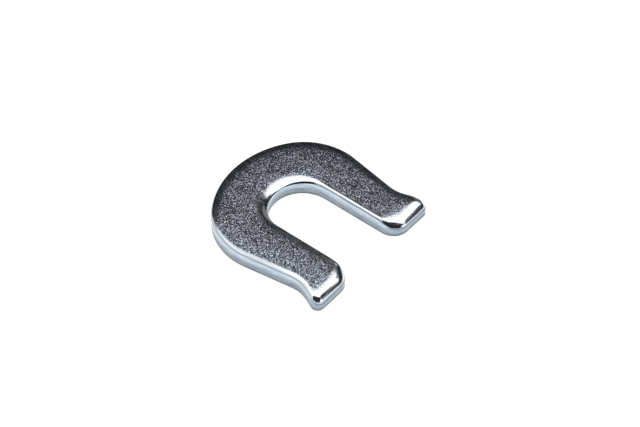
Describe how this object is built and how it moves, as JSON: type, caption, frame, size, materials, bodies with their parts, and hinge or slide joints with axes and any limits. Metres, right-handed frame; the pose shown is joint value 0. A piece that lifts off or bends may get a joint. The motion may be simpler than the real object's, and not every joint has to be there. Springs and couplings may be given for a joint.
{
  "type": "retaining clip",
  "caption": "Flat U-shaped slide-on retaining clip of thick plated sheet, with a half-round slot end, legs that narrow to a waist, flared tips and a rolled upper edge.",
  "frame": {"origin": "on the slot end's axis, at the plane of the underside", "axes": "+X out of the slot's mouth, along the legs; +Y across the legs; +Z through the sheet, from the underside to the rolled face"},
  "size_m": [0.0288, 0.0278, 0.003],
  "materials": {
    "zinc_plated_steel": "bright zinc plating over sheet steel: finely grained flat faces, smooth bright rolled edges, burnished side walls"
  },
  "bodies": {
    "root": {"u_clip": "zinc_plated_steel"}
  },
  "joints": []
}
